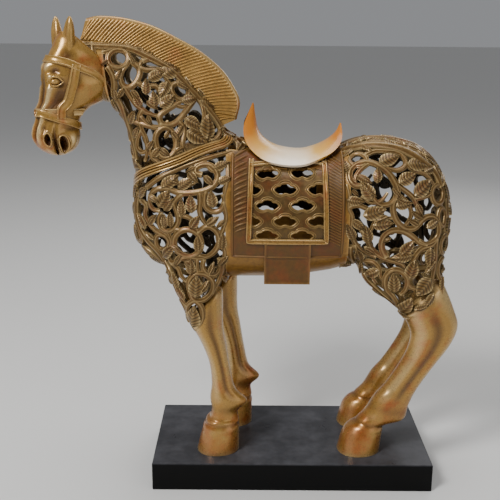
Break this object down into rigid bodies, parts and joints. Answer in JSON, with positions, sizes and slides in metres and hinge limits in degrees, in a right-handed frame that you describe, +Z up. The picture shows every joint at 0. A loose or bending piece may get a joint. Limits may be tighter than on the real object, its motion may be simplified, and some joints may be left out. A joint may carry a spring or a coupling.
{
  "type": "horse statue",
  "caption": "Standing horse statue, cast hollow and pierced with leafy vine scrolls, with a ribbed mane, bridle, saddle cloth and crescent saddle, on a rectangular plinth.",
  "frame": {"origin": "centre of the plinth's underside", "axes": "+Z up, the horse faces -X, its left side faces -Y"},
  "size_m": [0.5296, 0.178, 0.5905],
  "materials": {
    "horse": "cast resin with a rubbed antique gold patina, satin",
    "saddle": "polished amber to ivory, satin gloss",
    "plinth": "black satin lacquer"
  },
  "bodies": {
    "root": {"horse": "horse", "saddle": "saddle", "plinth": "plinth"}
  },
  "joints": []
}
